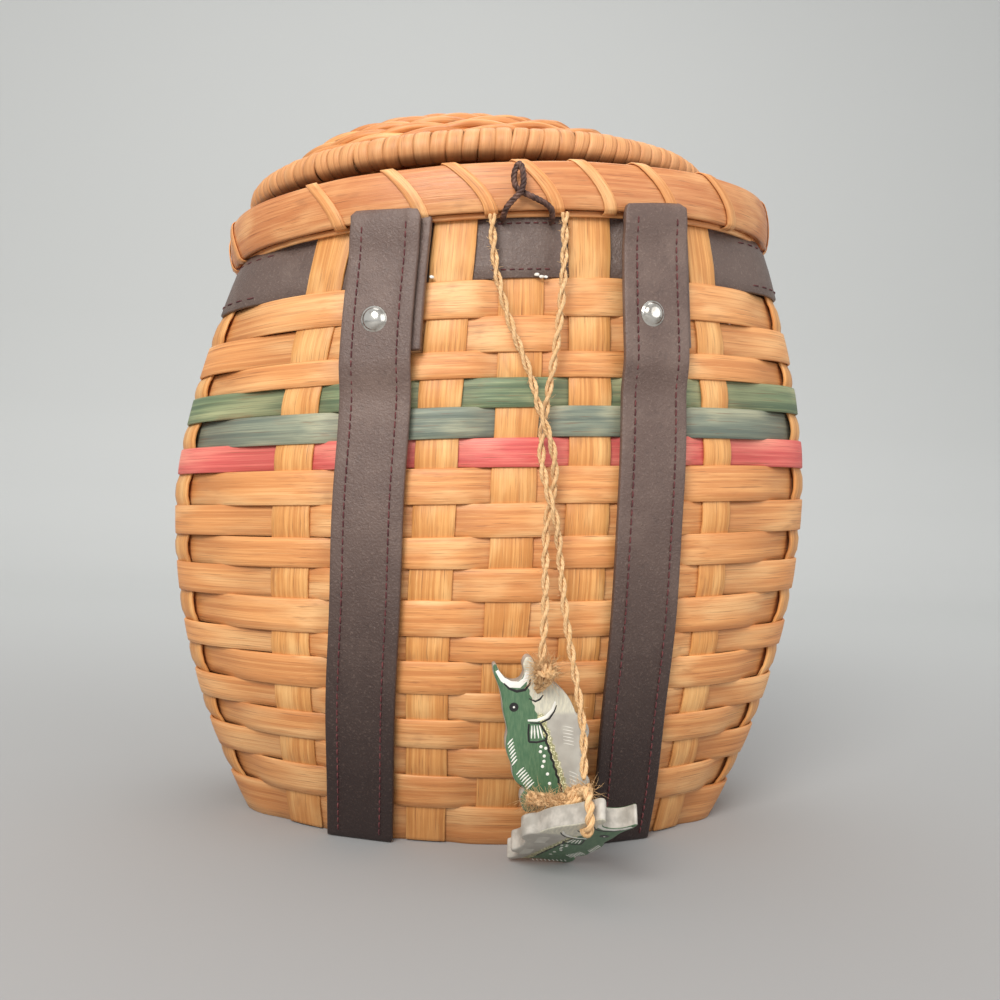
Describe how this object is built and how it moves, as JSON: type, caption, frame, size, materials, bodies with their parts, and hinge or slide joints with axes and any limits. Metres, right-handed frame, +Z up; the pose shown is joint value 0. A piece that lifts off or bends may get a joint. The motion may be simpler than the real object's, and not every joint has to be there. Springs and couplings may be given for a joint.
{
  "type": "lidded fishing creel",
  "caption": "Swelling splint basket with a flat back, leather straps, lashed rim, hinged domed lid and two small wooden fish hung on twine.",
  "frame": {"origin": "middle of the basket's foot, on the surface that it stands on", "axes": "+Z up, -Y out of the curved front with the straps, +X to the right seen from the front"},
  "size_m": [0.2596, 0.173, 0.2762],
  "materials": {
    "splint": "satin woven splint",
    "green_splint": "dyed splint",
    "grey_green_splint": "dyed splint",
    "red_splint": "dyed splint",
    "rim_reed": "satin flat reed",
    "lid_reed": "satin round reed",
    "leather": "worn grained leather",
    "nickel": "polished",
    "jute": "twisted plant fibre",
    "dark_cord": "waxed cord",
    "painted_wood": "hand-painted plywood"
  },
  "bodies": {
    "basket": {"woven_wall": "splint", "base_panel": "splint", "leather_band": "leather", "rim_outer_hoop": "rim_reed", "rim_inner_hoop": "rim_reed", "rim_lashing": "rim_reed", "left_strap": "leather", "left_strap_tail": "leather", "left_strap_rivet": "nickel", "right_strap": "leather", "right_strap_tail": "leather", "right_strap_rivet": "nickel", "hinge_rod": "rim_reed", "hinge_rod_ties": "rim_reed", "twine_short": "jute", "twine_long": "jute", "twine_knot_1": "jute", "twine_knot_2": "jute", "catch_loop": "dark_cord", "fish_charm_1": "painted_wood", "fish_charm_2": "painted_wood", "weaver_row_01": "splint", "weaver_row_02": "splint", "weaver_row_03": "splint", "weaver_row_04": "green_splint", "weaver_row_05": "grey_green_splint", "weaver_row_06": "red_splint", "weaver_row_07": "splint", "weaver_row_08": "splint", "weaver_row_09": "splint", "weaver_row_10": "splint", "weaver_row_11": "splint", "weaver_row_12": "splint", "weaver_row_13": "splint", "weaver_row_14": "splint", "weaver_row_15": "splint", "weaver_row_16": "splint", "weaver_row_17": "splint", "weaver_row_18": "splint"},
    "lid": {"lid_ring": "lid_reed", "lid_dome": "lid_reed", "hinge_loop_left": "leather", "hinge_loop_right": "leather"}
  },
  "joints": [
    {"name": "lid_hinge", "type": "hinge", "parent": "basket", "child": "lid", "pos_m": [-0.00197, 0.0485, 0.24701], "axis": [-0.9962, 0, -0.0872], "range_deg": [0, 105]}
  ]
}
